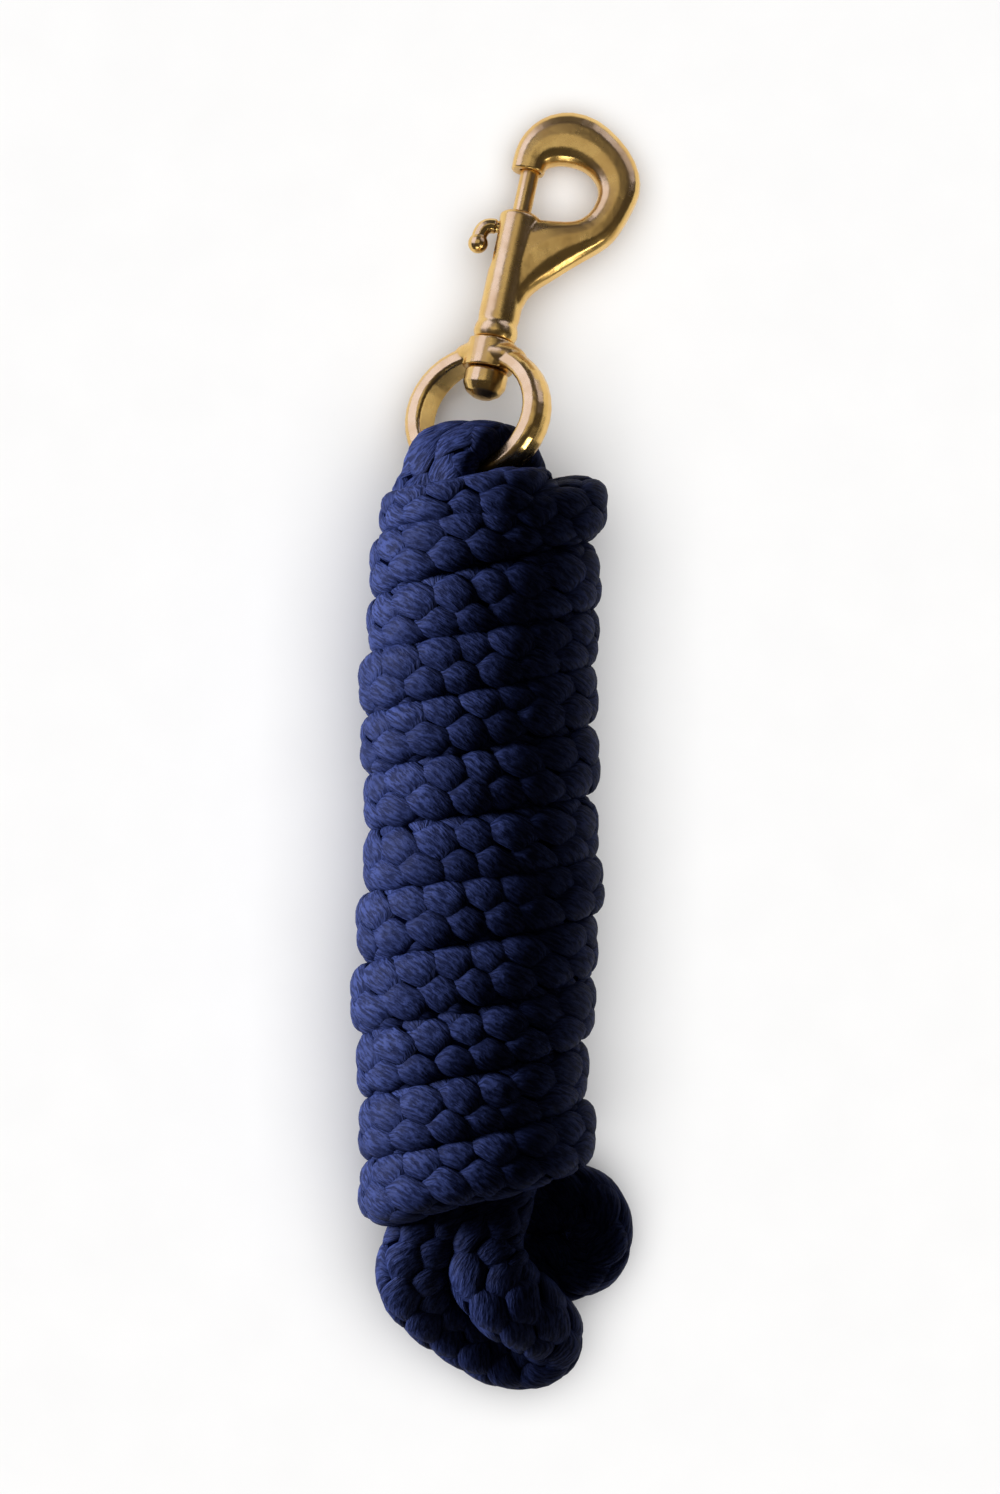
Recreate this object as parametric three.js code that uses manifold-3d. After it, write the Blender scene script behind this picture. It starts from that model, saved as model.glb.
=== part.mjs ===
// Lead rope for leading a horse: a plaited rope wound into a hank for storage, with a brass swivel
// bolt snap in the eye at its upper end. Millimetres, +Z up.
//
// The hank lies on the plane z = 0 with its length along Y and the snap at the +Y end. The origin
// is the middle of the hank's flat underside. The snap and its ring are built in a frame of their
// own: x across, y along the snap's long axis, z out of its flat, with the ring's centre as origin.

import * as THREE from 'three';
import { mergeVertices } from 'three/addons/utils/BufferGeometryUtils.js';
import Module from 'manifold-3d';

const wasm = await Module();
wasm.setup();

// ---------------------------------------------------------------- driving dimensions

const GAP = 0.3;                    // between faces that touch on the real thing

const ROPE_RADIUS = 9;              // the rope as pressed into the hank
const CORE_HEIGHT = 28;             // the two straight runs inside the hank lie this high
const CORE_OFFSET = 10.4;           // and this far to either side of the middle
const TURNS = 11;
const TURN_PITCH = 20.3;
const HANK_TOP = 111.3;             // upper end of the turns
const HANK_BOTTOM = HANK_TOP - TURNS * TURN_PITCH;
const WRAP_RADIUS = 29;             // round ends of the hank's section
const TURN_GROOVE = 4;              // depth and half-width of the groove between two turns
const BORE_HEIGHT = 11.2;           // half the height of the space that the core runs fill
const BORE_HALF_WIDTH = 20.8;
const NECK_END = 90;                // where the eye's two strands meet the core run
const NECK_X = -9.2;
const MOUTH_X = -6;                 // the hank's mouth, round the eye's neck
const MOUTH_HALF_WIDTH = 17.6;
const MOUTH_HALF_HEIGHT = 18;
const MOUTH_CORNER = 9;

const STRAND_WIDTH = 22;            // the rope pressed flat where it goes through the ring
const STRAND_THICKNESS = 10.4;
const EYE_RADIUS = 11.7;            // centreline of the eye round the ring's bar
const EYE_WRAP = THREE.MathUtils.degToRad(12);       // past half a turn, at each side
const WHIPPING_LENGTH = 6;
const WHIPPING_THICKNESS = 1.3;

const RING_CENTRE = [-0.7, 133, 24.2];
const SNAP_LEAN = THREE.MathUtils.degToRad(11.8);    // to the right of the hank's length
const SNAP_DROP = THREE.MathUtils.degToRad(11);      // down to the surface it lies on
const RING_TURN = THREE.MathUtils.degToRad(-33);     // about the snap's long axis
const RING_HALF_WIDTH = 23.2;       // to the middle of the bar
const RING_HALF_HEIGHT = 20.4;
const RING_THICKNESS = 6.4;
const RING_DEPTH = 10.8;
const HUB_RADIUS = 8;
const HUB_INNER_FACE = 15.2;
const HUB_OUTER_FACE = 24.6;
const HUB_RECESS_RADIUS = 6.4;
const HUB_RECESS_FLOOR = 21.6;

const BORE_RADIUS = 3.9;            // through the hub and up the barrel
const SHANK_RADIUS = 3.5;
const SHANK_END = 36.3;
const RIVET_HEAD_RADIUS = 7;
const RIVET_HEAD_HEIGHT = 9.6;

const NECK_RADIUS = 5.6;
const COLLAR_RADIUS = 7.2;
const BARREL_RADIUS = 6.7;
const BARREL_TOP = 68.4;
const BORE_TOP = 65.4;
const GUIDE_RADIUS = 3.4;
const NOSE_END = 82.6;
const SOCKET_FLOOR = 86.8;

const ROD_RADIUS = 3.05;
const ROD_TIP = 85.2;
const PISTON_RADIUS = 3.5;
const PISTON_BOTTOM = 60.2;
const PISTON_TOP = 65.05;
const STUD_HEIGHT = 62.65;          // the thumb stud's arm, along the snap
const STUD_ROOT_RADIUS = 2;         // where it goes through the slot
const STUD_RADIUS = 2.5;
const STUD_BALL_RADIUS = 3.3;
const STUD_BALL = [-11.7, 56];
const BOLT_TRAVEL = 12;
const SLOT_HALF_WIDTH = 2.4;

const SPRING_MEAN_RADIUS = 2.7;
const SPRING_WIRE_RADIUS = 0.45;
const SPRING_TURNS = 8;

// ---------------------------------------------------------------- materials

const ropeMaterial = new THREE.MeshStandardMaterial({ color: 0x232a5c, roughness: 0.95 });
const twineMaterial = new THREE.MeshStandardMaterial({ color: 0x161a3a, roughness: 0.8 });
const brassMaterial = new THREE.MeshStandardMaterial({
  color: 0xc9a24a, roughness: 0.22, metalness: 1,
});
const steelMaterial = new THREE.MeshStandardMaterial({
  color: 0x9a9da2, roughness: 0.35, metalness: 1,
});

// ---------------------------------------------------------------- shape helpers

function toSolid(geometry) {
  const bare = geometry.clone();
  bare.deleteAttribute('normal');
  bare.deleteAttribute('uv');
  const merged = mergeVertices(bare, 1e-4);
  return new wasm.Manifold(new wasm.Mesh({
    numProp: 3,
    vertProperties: new Float32Array(merged.attributes.position.array),
    triVerts: new Uint32Array(merged.index.array),
  }));
}

function toGeometry(solid) {
  const mesh = solid.getMesh();
  const geometry = new THREE.BufferGeometry();
  geometry.setAttribute('position', new THREE.BufferAttribute(mesh.vertProperties, 3));
  geometry.setIndex(new THREE.BufferAttribute(mesh.triVerts, 1));
  return geometry;
}

// Joins the first list of geometries and cuts away the second.
function carve(joined, cut = []) {
  const whole = joined.map(toSolid).reduce((a, b) => a.add(b));
  return toGeometry(cut.map(toSolid).reduce((a, b) => a.subtract(b), whole));
}

function vectors(points) {
  return points.map((point) => new THREE.Vector3(...point));
}

// A round bar on the Y axis between two heights.
function rod(radius, from, to, sides = 24) {
  return new THREE.CylinderGeometry(radius, radius, to - from, sides).translate(0, (from + to) / 2, 0);
}

// Turns a profile of [radius, height] points, given upwards, about the Y axis.
function turned(profile, sides = 24) {
  return new THREE.LatheGeometry(profile.map(([r, y]) => new THREE.Vector2(r, y)), sides);
}

function circle(radius) {
  return new THREE.Shape().absarc(0, 0, radius, 0, 2 * Math.PI);
}

// A round tube along a smooth curve through the points; halfSides is half its number of sides.
function tube(points, radius, steps, halfSides = 5) {
  return new THREE.ExtrudeGeometry(circle(radius), {
    extrudePath: new THREE.CatmullRomCurve3(vectors(points)),
    steps,
    curveSegments: halfSides,
    bevelEnabled: false,
  });
}

// An oval ring of points about a centre, on two axes of given half-lengths. A power above 2 fills
// out its corners.
function oval(centre, across, halfAcross, up, halfUp, sides, power = 2) {
  const filled = (value) => Math.sign(value) * Math.abs(value) ** (2 / power);
  return Array.from({ length: sides }, (_, i) => {
    const angle = (2 * Math.PI * i) / sides;
    return centre.clone()
      .addScaledVector(across, halfAcross * filled(Math.cos(angle)))
      .addScaledVector(up, halfUp * filled(Math.sin(angle)));
  });
}

// Skins a row of rings that hold equal numbers of points, and closes both ends.
function loft(rings) {
  const sides = rings[0].length;
  const last = (rings.length - 1) * sides;
  const index = [];
  for (let r = 0; r < rings.length - 1; r += 1) {
    for (let i = 0; i < sides; i += 1) {
      const a = r * sides + i;
      const b = r * sides + ((i + 1) % sides);
      index.push(a, b, b + sides, a, b + sides, a + sides);
    }
  }
  for (let i = 1; i < sides - 1; i += 1) {
    index.push(0, i + 1, i);
    index.push(last, last + i, last + i + 1);
  }
  const geometry = new THREE.BufferGeometry().setFromPoints(rings.flat());
  geometry.setIndex(index);
  return geometry;
}

// A bar with round ends seen along Y: half its straight length in x, its end radius in z.
function roundEnded(halfStraight, radius) {
  return new THREE.Shape()
    .absarc(halfStraight, 0, radius, -Math.PI / 2, Math.PI / 2)
    .absarc(-halfStraight, 0, radius, Math.PI / 2, 1.5 * Math.PI);
}

// A block with rounded corners seen along Y.
function rounded(halfWidth, halfHeight, corner) {
  const x = halfWidth - corner;
  const y = halfHeight - corner;
  return new THREE.Shape()
    .absarc(x, -y, corner, -Math.PI / 2, 0)
    .absarc(x, y, corner, 0, Math.PI / 2)
    .absarc(-x, y, corner, Math.PI / 2, Math.PI)
    .absarc(-x, -y, corner, Math.PI, 1.5 * Math.PI);
}

// Extrudes a shape drawn in x and z along +Y, from one y to another, at the core's height.
function alongHank(shape, from, to, options) {
  return new THREE.ExtrudeGeometry(shape, { depth: to - from, bevelEnabled: false, ...options })
    .rotateX(Math.PI / 2)
    .translate(0, to, CORE_HEIGHT);
}

// ---------------------------------------------------------------- the snap's frame

const snapFrame = new THREE.Group();
snapFrame.position.set(...RING_CENTRE);
snapFrame.rotation.set(-SNAP_DROP, 0, -SNAP_LEAN);
const ringFrame = new THREE.Group();
ringFrame.rotation.y = RING_TURN;
snapFrame.add(ringFrame);
snapFrame.updateMatrixWorld(true);

// The ring's bar where the rope's eye goes round it, and the ring's axes, in the hank's frame.
const bar = ringFrame.localToWorld(new THREE.Vector3(0, -RING_HALF_HEIGHT, 0));
const ringAxes = [0, 1, 2].map((column) => {
  const axis = new THREE.Vector3().setFromMatrixColumn(ringFrame.matrixWorld, column);
  return axis.normalize();
});

// ---------------------------------------------------------------- the rope

// Eleven pressed turns as one stack, cut flat underneath, round the space of the core runs.
function ropeWraps() {
  const straight = CORE_OFFSET;
  const outline = roundEnded(straight, WRAP_RADIUS - TURN_GROOVE);
  const overlap = 0.5;
  const turn = (top) => alongHank(outline, top - TURN_PITCH + TURN_GROOVE - overlap, top - TURN_GROOVE, {
    bevelEnabled: true,
    bevelThickness: TURN_GROOVE,
    bevelSize: TURN_GROOVE,
    bevelSegments: 2,
    curveSegments: 8,
  });
  const turns = Array.from({ length: TURNS }, (_, i) => turn(HANK_TOP - i * TURN_PITCH));
  const core = alongHank(
    roundEnded(BORE_HALF_WIDTH - BORE_HEIGHT, BORE_HEIGHT), HANK_BOTTOM - 5, NECK_END, { curveSegments: 6 },
  );
  const mouth = alongHank(
    rounded(MOUTH_HALF_WIDTH, MOUTH_HALF_HEIGHT, MOUTH_CORNER), NECK_END - 1, HANK_TOP + 5, { curveSegments: 4 },
  ).translate(MOUTH_X, 0, 0);
  const tailBed = tube([[-30.3, -115.3, 46], ...TAIL_ROUTE], ROPE_RADIUS + GAP + 0.3, 30, 6);
  const below = new THREE.BoxGeometry(200, 400, 40).translate(0, 0, -20);
  return carve(turns, [core, mouth, tailBed, below]);
}

// Down one side of the core, round the bight at the foot of the hank and up the other side. The
// bight swings to the left, passes over the tail and rests its fold on the surface.
const CORE_ROUTE = [
  [-CORE_OFFSET, NECK_END - GAP, CORE_HEIGHT],
  [-CORE_OFFSET, 30, CORE_HEIGHT],
  [-CORE_OFFSET, -35, CORE_HEIGHT],
  [-CORE_OFFSET, -96, CORE_HEIGHT],
  [-10.6, -107, 28.1],
  [-11.6, -116, 28.5],
  [-14.2, -123.6, 28.9],
  [-18.2, -131, 28.2],
  [-21, -138.6, 26],
  [-20.6, -146, 22.8],
  [-15.6, -153.8, 18.4],
  [-8, -160.6, 14.6],
  [0, -166, 11.8],
  [8, -170, 9.9],
  [15.4, -171, 9.9],
  [21.6, -167.2, 13],
  [22, -160.8, 19],
  [16, -155.2, 24.8],
  [8.8, -149.2, 28.2],
  [3.2, -141.4, 29.4],
  [2.2, -132, 29.4],
  [4.8, -122.6, 29],
  [8.2, -113, 28.4],
  [10, -104, 28],
  [CORE_OFFSET, -96, CORE_HEIGHT],
  [CORE_OFFSET, -35, CORE_HEIGHT],
  [CORE_OFFSET, 30, CORE_HEIGHT],
  [CORE_OFFSET, NECK_END - GAP, CORE_HEIGHT],
];

// The last turn leaves the left of the hank, goes under the bight, folds at the right and comes
// back under the bight.
const TAIL_END = [6.5, -140.8, 9.4];
const TAIL_ROUTE = [
  [-30.3, -115.3, 42],
  [-30.3, -115.3, 34],
  [-30.2, -115.4, 27],
  [-28.8, -116, 20],
  [-24.6, -117.2, 13.7],
  [-18, -118.6, 10.2],
  [-9, -119.6, 9.4],
  [0, -120, 9.4],
  [9, -120, 9.4],
  [19, -119.4, 9.4],
  [28.4, -119.2, 9.4],
  [35.4, -122.6, 9.4],
  [38, -130, 9.4],
  [35.4, -137.6, 9.4],
  [28.4, -141, 9.4],
  [18, -140.8, 9.4],
  TAIL_END,
];

// The eye: one flattened length of rope that goes through the ring and round its bar, with both
// strands brought together at the neck.
function ropeEye() {
  const across = new THREE.Vector3(1, 0, 0);
  const strandHeight = STRAND_THICKNESS / 2 + GAP / 2;
  const neckPoint = (y, side) => new THREE.Vector3(NECK_X, y, CORE_HEIGHT + side * strandHeight);
  const neck = (side) => [GAP, 3.3, 6.3, 9.3].map((along) => NECK_END + along).map((y) => ({
    centre: neckPoint(y, side),
    width: across,
  }));
  const loopSteps = 8;
  const loop = Array.from({ length: loopSteps + 1 }, (_, i) => {
    const angle = ((Math.PI + 2 * EYE_WRAP) * i) / loopSteps - EYE_WRAP;
    return {
      centre: bar.clone()
        .addScaledVector(ringAxes[2], EYE_RADIUS * Math.cos(angle))
        .addScaledVector(ringAxes[1], EYE_RADIUS * Math.sin(angle)),
      width: ringAxes[0],
    };
  });
  const stations = [...neck(1), ...loop, ...neck(-1).reverse()];
  const path = new THREE.CatmullRomCurve3(stations.map((station) => station.centre));
  const last = stations.length - 1;
  const samples = 2 * last;
  const rings = Array.from({ length: samples + 1 }, (_, i) => {
    const place = (i / samples) * last;
    const before = stations[Math.floor(place)];
    const after = stations[Math.min(Math.floor(place) + 1, last)];
    const tangent = path.getTangent(i / samples);
    if (i === 0 || i === samples) {
      tangent.set(0, Math.sign(tangent.y), 0);
    }
    const width = before.width.clone().lerp(after.width, place % 1);
    width.addScaledVector(tangent, -width.dot(tangent)).normalize();
    const thick = new THREE.Vector3().crossVectors(tangent, width);
    return oval(path.getPoint(i / samples), width, STRAND_WIDTH / 2, thick, STRAND_THICKNESS / 2, 14);
  });
  return loft(rings);
}

// Twine bound round both strands of the eye's neck.
function eyeWhipping() {
  const band = (grow) => rounded(
    STRAND_WIDTH / 2 + grow, STRAND_THICKNESS + GAP / 2 + grow, STRAND_THICKNESS / 2 + grow,
  );
  const from = NECK_END + 1;
  const to = from + WHIPPING_LENGTH;
  const outer = alongHank(band(GAP + WHIPPING_THICKNESS), from, to, { curveSegments: 6 });
  const inner = alongHank(band(GAP), from - 1, to + 1, { curveSegments: 6 });
  return carve([outer], [inner]).translate(NECK_X, 0, 0);
}

// The bound end of the tail, drawn in a little by its whipping.
function tailWhipping() {
  const radius = ROPE_RADIUS - 0.6;
  const profile = [
    [0, GAP], [radius, GAP], [radius, WHIPPING_LENGTH], [radius - 2.4, WHIPPING_LENGTH + 1.6],
    [0, WHIPPING_LENGTH + 2],
  ];
  return turned(profile, 16).rotateZ(Math.PI / 2).translate(...TAIL_END);
}

// ---------------------------------------------------------------- the swivel ring and its rivet

// The eye ring: flat inside and round outside, with a bored hub at its top for the rivet.
function swivelRing() {
  const halfThick = RING_THICKNESS / 2;
  const halfDeep = RING_DEPTH / 2;
  const flat = 0.8 * halfDeep;
  const outside = Array.from({ length: 7 }, (_, i) => {
    const angle = (Math.PI * (i - 3)) / 7;
    return [RING_HALF_HEIGHT + halfThick * Math.cos(angle), halfDeep * Math.sin(angle)];
  });
  const section = [
    [RING_HALF_HEIGHT - halfThick, -flat],
    [RING_HALF_HEIGHT - 0.7 * halfThick, -0.97 * halfDeep],
    ...outside,
    [RING_HALF_HEIGHT - 0.7 * halfThick, 0.97 * halfDeep],
    [RING_HALF_HEIGHT - halfThick, flat],
    [RING_HALF_HEIGHT - halfThick, -flat],
  ];
  const hoop = turned(section, 36).rotateX(Math.PI / 2).scale(RING_HALF_WIDTH / RING_HALF_HEIGHT, 1, 1);
  const swelling = new THREE.SphereGeometry(1, 20, 14).scale(13.5, 5, 7.4).translate(0, 19.8, 0);
  const hub = rod(HUB_RADIUS, HUB_INNER_FACE, HUB_OUTER_FACE);
  const seat = rod(RIVET_HEAD_RADIUS + 0.8, 5, HUB_INNER_FACE);
  const recess = rod(HUB_RECESS_RADIUS, HUB_RECESS_FLOOR, 30);
  const bore = rod(BORE_RADIUS, 5, 30);
  return carve([hoop, swelling, hub], [seat, recess, bore]);
}

// The rivet that the snap turns on: a domed head inside the ring and a shank up the barrel.
function swivelRivet() {
  const seat = HUB_INNER_FACE - GAP;
  const crown = seat - RIVET_HEAD_HEIGHT;
  return turned([
    [0, crown],
    [3, crown + 0.4],
    [5.6, crown + 2],
    [RIVET_HEAD_RADIUS, crown + 4.6],
    [RIVET_HEAD_RADIUS, seat - 0.8],
    [RIVET_HEAD_RADIUS - 0.7, seat],
    [SHANK_RADIUS, seat],
    [SHANK_RADIUS, SHANK_END],
    [0, SHANK_END],
  ], 20);
}

// ---------------------------------------------------------------- the snap

// The hook and the web that joins it to the barrel, as sections from the barrel round to the nose:
// a point on the outer side, one on the inner side, and half the depth.
const HOOK_SECTIONS = [
  [[6.2, 33.5], [-6.2, 33.5], 5.3],
  [[7.6, 40.5], [-5.6, 41.5], 5.5],
  [[10.6, 45], [-5, 50], 5.7],
  [[14.6, 48.8], [-4, 59.2], 5.8],
  [[18.8, 53], [0.5, 65.6], 5.8],
  [[23, 57], [6, 67.4], 5.8],
  [[27.2, 60.9], [12.9, 68.1], 5.7],
  [[30.6, 64.8], [18, 69.6], 5.6],
  [[33, 70], [21.4, 73], 5.5],
  [[35, 76.5], [22.9, 77.7], 5.5],
  [[36.1, 82.4], [22.6, 81.2], 5.5],
  [[35, 88.6], [20.9, 83.8], 5.5],
  [[31, 95], [18.4, 85.8], 5.6],
  [[24.6, 100.6], [15.2, 87], 5.7],
  [[17.4, 104.4], [11.8, 87.2], 5.8],
  [[9.6, 105.2], [8.6, 86.8], 5.8],
  [[3.2, 103.2], [6.1, 85.8], 5.7],
  [[-1.6, 99.4], [5, 85], 5.6],
  [[-5, 94], [4.7, 84.3], 5.5],
  [[-6.3, 88.4], [4.6, 83.5], 5.4],
  [[-6.3, NOSE_END], [4.6, NOSE_END], 5.2],
];
const HOOK_STEPS = 36;
const HOOK_SQUARENESS = 2.5;        // the power of its section's outline

function hook() {
  const side = (column) => new THREE.CatmullRomCurve3(
    HOOK_SECTIONS.map((section) => new THREE.Vector3(...section[column], section[2])),
  );
  const outer = side(0);
  const inner = side(1);
  const depthAxis = new THREE.Vector3(0, 0, 1);
  return loft(Array.from({ length: HOOK_STEPS + 1 }, (_, i) => {
    const out = outer.getPoint(i / HOOK_STEPS);
    const across = inner.getPoint(i / HOOK_STEPS).sub(out).multiplyScalar(0.5);
    const centre = out.clone().add(across).setZ(0);
    const halfWidth = across.length();
    return oval(centre, across.normalize(), halfWidth, depthAxis, out.z, 16, HOOK_SQUARENESS);
  }));
}

// Barrel, collar, neck and hook in one casting, with the spring's bore, the rod's guide, the
// socket in the hook's nose and the slot for the thumb stud.
function snapBody() {
  const barrel = turned([
    [0, HUB_RECESS_FLOOR + GAP],
    [NECK_RADIUS, HUB_RECESS_FLOOR + GAP],
    [NECK_RADIUS, HUB_OUTER_FACE + GAP],
    [COLLAR_RADIUS - 0.7, HUB_OUTER_FACE + 0.6],
    [COLLAR_RADIUS, HUB_OUTER_FACE + 2.6],
    [COLLAR_RADIUS - 0.2, HUB_OUTER_FACE + 4.8],
    [BARREL_RADIUS - 0.3, HUB_OUTER_FACE + 6.2],
    [BARREL_RADIUS, HUB_OUTER_FACE + 8.5],
    [BARREL_RADIUS, BARREL_TOP - 1.2],
    [BARREL_RADIUS - 1.4, BARREL_TOP],
    [0, BARREL_TOP],
  ], 28);
  const bore = rod(BORE_RADIUS, 15, BORE_TOP);
  const guide = rod(GUIDE_RADIUS, BORE_TOP - 1, BARREL_TOP + 1);
  const socket = rod(GUIDE_RADIUS, NOSE_END - 2, SOCKET_FLOOR);
  const slotLength = BOLT_TRAVEL / 2;
  const slot = new THREE.ExtrudeGeometry(roundEnded(slotLength, SLOT_HALF_WIDTH), {
    depth: 8,
    bevelEnabled: false,
    curveSegments: 6,
  });
  slot.rotateZ(Math.PI / 2).rotateY(-Math.PI / 2).translate(0, STUD_HEIGHT - slotLength, 0);
  return carve([barrel, hook()], [bore, guide, socket, slot]);
}

function snapBolt() {
  const turning = turned([
    [0, PISTON_BOTTOM],
    [PISTON_RADIUS, PISTON_BOTTOM],
    [PISTON_RADIUS, PISTON_TOP],
    [ROD_RADIUS, PISTON_TOP],
    [ROD_RADIUS, ROD_TIP - 0.8],
    [ROD_RADIUS - 0.8, ROD_TIP],
    [0, ROD_TIP],
  ], 20);
  const hole = rod(STUD_ROOT_RADIUS + GAP, 0.6, 6, 12).rotateZ(Math.PI / 2).translate(0, STUD_HEIGHT, 0);
  return carve([turning], [hole]);
}

// The crooked thumb stud: its root sits in the bolt, its ball hangs beside the barrel.
function thumbStud() {
  const [ballX, ballY] = STUD_BALL;
  const arm = tube([
    [-BARREL_RADIUS - GAP - 0.2, STUD_HEIGHT, 0],
    [-BARREL_RADIUS - 2, STUD_HEIGHT, 0],
    [-BARREL_RADIUS - 3.9, STUD_HEIGHT - 1, 0],
    [ballX, STUD_HEIGHT - 3.6, 0],
    [ballX, ballY, 0],
  ], STUD_RADIUS, 10);
  const root = rod(STUD_ROOT_RADIUS, 1, BARREL_RADIUS + 2, 12).rotateZ(Math.PI / 2)
    .translate(0, STUD_HEIGHT, 0);
  const ball = new THREE.SphereGeometry(STUD_BALL_RADIUS, 14, 10).translate(ballX, ballY, 0);
  return carve([root, arm, ball]);
}

function boltSpring() {
  const from = SHANK_END + SPRING_WIRE_RADIUS + GAP;
  const to = PISTON_BOTTOM - SPRING_WIRE_RADIUS - GAP;
  const stepsPerTurn = 10;
  const steps = SPRING_TURNS * stepsPerTurn;
  const coil = Array.from({ length: steps + 1 }, (_, i) => {
    const angle = (2 * Math.PI * i) / stepsPerTurn;
    const height = from + ((to - from) * i) / steps;
    return [SPRING_MEAN_RADIUS * Math.cos(angle), height, SPRING_MEAN_RADIUS * Math.sin(angle)];
  });
  return tube(coil, SPRING_WIRE_RADIUS, steps, 3);
}

// ---------------------------------------------------------------- the assembly

function add(parent, name, geometry, material) {
  const mesh = new THREE.Mesh(geometry, material);
  mesh.name = name;
  parent.add(mesh);
}

const leadRope = new THREE.Group();
leadRope.add(snapFrame);

add(leadRope, 'rope_wraps', ropeWraps(), ropeMaterial);
add(leadRope, 'rope_core', tube(CORE_ROUTE, ROPE_RADIUS, 78), ropeMaterial);
add(leadRope, 'rope_tail', tube(TAIL_ROUTE, ROPE_RADIUS, 28), ropeMaterial);
add(leadRope, 'rope_eye', ropeEye(), ropeMaterial);
add(leadRope, 'eye_whipping', eyeWhipping(), twineMaterial);
add(leadRope, 'tail_whipping', tailWhipping(), twineMaterial);

add(ringFrame, 'swivel_ring', swivelRing(), brassMaterial);
add(snapFrame, 'swivel_rivet', swivelRivet(), brassMaterial);
add(snapFrame, 'snap_body', snapBody(), brassMaterial);
add(snapFrame, 'snap_bolt', snapBolt(), brassMaterial);
add(snapFrame, 'thumb_stud', thumbStud(), brassMaterial);
add(snapFrame, 'bolt_spring', boltSpring(), steelMaterial);

export default leadRope;
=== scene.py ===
"""The looks of the lead rope: a plaited navy rope wound into a hank, with a brass swivel bolt snap.

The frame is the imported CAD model. +Y runs along the hank towards the snap and +Z is up from the
surface that it lies on. Sizes are in millimetres and turned into metres where a shape is made. Only
the lights are placed in metres.
"""

import math
import random

import bmesh
import bpy
import numpy as np
from mathutils import Matrix, Vector


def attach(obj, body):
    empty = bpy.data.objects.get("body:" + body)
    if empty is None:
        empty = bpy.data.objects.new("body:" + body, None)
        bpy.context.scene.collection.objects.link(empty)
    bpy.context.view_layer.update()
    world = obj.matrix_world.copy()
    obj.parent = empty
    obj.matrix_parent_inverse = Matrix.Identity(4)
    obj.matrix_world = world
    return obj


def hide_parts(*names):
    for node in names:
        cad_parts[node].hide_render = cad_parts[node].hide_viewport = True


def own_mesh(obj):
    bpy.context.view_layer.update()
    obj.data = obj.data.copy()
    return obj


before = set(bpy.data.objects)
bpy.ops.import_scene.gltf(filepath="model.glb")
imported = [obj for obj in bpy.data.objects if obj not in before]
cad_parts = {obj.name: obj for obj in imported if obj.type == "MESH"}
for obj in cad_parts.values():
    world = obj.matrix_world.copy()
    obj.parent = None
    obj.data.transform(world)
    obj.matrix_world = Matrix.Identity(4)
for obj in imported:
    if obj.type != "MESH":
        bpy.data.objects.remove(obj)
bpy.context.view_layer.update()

MM = 0.001
DEG = math.pi / 180

# ------------------------------------------------------------------ camera

VIEW_HEIGHT = 478.08  # what the picture shows, bottom to top, at the height of VIEW_CENTRE
VIEW_CENTRE = (6.4, 26.6, 27.0)  # the camera looks straight down at this point
CAMERA_DISTANCE = 1600.0
SENSOR = 36.0
CLIP_END = 20  # metres


def make_camera():
    """A camera that looks straight down, as the photo's does."""
    data = bpy.data.cameras.new("camera")
    data.sensor_fit = "VERTICAL"
    data.sensor_height = SENSOR
    data.lens = SENSOR * CAMERA_DISTANCE / VIEW_HEIGHT
    data.clip_end = CLIP_END
    camera = bpy.data.objects.new("camera", data)
    x, y, z = VIEW_CENTRE
    camera.location = Vector((x, y, z + CAMERA_DISTANCE)) * MM
    bpy.context.scene.collection.objects.link(camera)
    bpy.context.scene.camera = camera


make_camera()

# ------------------------------------------------------------------ mesh helpers


def new_object(name, mesh, material, smooth=True):
    for polygon in mesh.polygons:
        polygon.use_smooth = smooth
    mesh.materials.clear()
    mesh.materials.append(material)
    made = bpy.data.objects.new(name, mesh)
    bpy.context.scene.collection.objects.link(made)
    return made


def mesh_of(name, points, faces, attributes=None, uv=None):
    """A mesh of points in millimetres. faces is a list of index arrays, one per kind of polygon."""
    mesh = bpy.data.meshes.new(name)
    mesh.vertices.add(len(points))
    mesh.vertices.foreach_set("co", (np.asarray(points, np.float32) * MM).ravel())
    corners = np.concatenate([np.asarray(f, np.int32).ravel() for f in faces])
    sizes = np.concatenate([np.full(len(f), np.asarray(f).shape[1], np.int32) for f in faces])
    mesh.loops.add(len(corners))
    mesh.loops.foreach_set("vertex_index", corners)
    mesh.polygons.add(len(sizes))
    mesh.polygons.foreach_set("loop_start", np.cumsum(sizes) - sizes)
    mesh.polygons.foreach_set("loop_total", sizes)
    mesh.update(calc_edges=True)
    for key, values in (attributes or {}).items():
        layer = mesh.attributes.new(key, "FLOAT", "POINT")
        layer.data.foreach_set("value", np.asarray(values, np.float32).ravel())
    if uv is not None:
        layer = mesh.uv_layers.new(name="UVMap")
        layer.data.foreach_set("uv", np.asarray(uv, np.float32)[corners].ravel())
    work = bmesh.new()
    work.from_mesh(mesh)
    bmesh.ops.recalc_face_normals(work, faces=work.faces)
    work.to_mesh(mesh)
    work.free()
    mesh.validate()
    return mesh


def tube_faces(rings, sides):
    """Quads between the rings of a tube, and its two end faces."""
    r, i = np.meshgrid(np.arange(rings - 1), np.arange(sides), indexing="ij")
    a = r * sides + i
    b = r * sides + (i + 1) % sides
    quads = np.stack([a, b, b + sides, a + sides], -1).reshape(-1, 4)
    ends = np.stack([np.arange(sides), (rings - 1) * sides + np.arange(sides)])
    return quads, ends


CURVE_STEPS = 24  # samples of a smooth line between two stations


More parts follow.
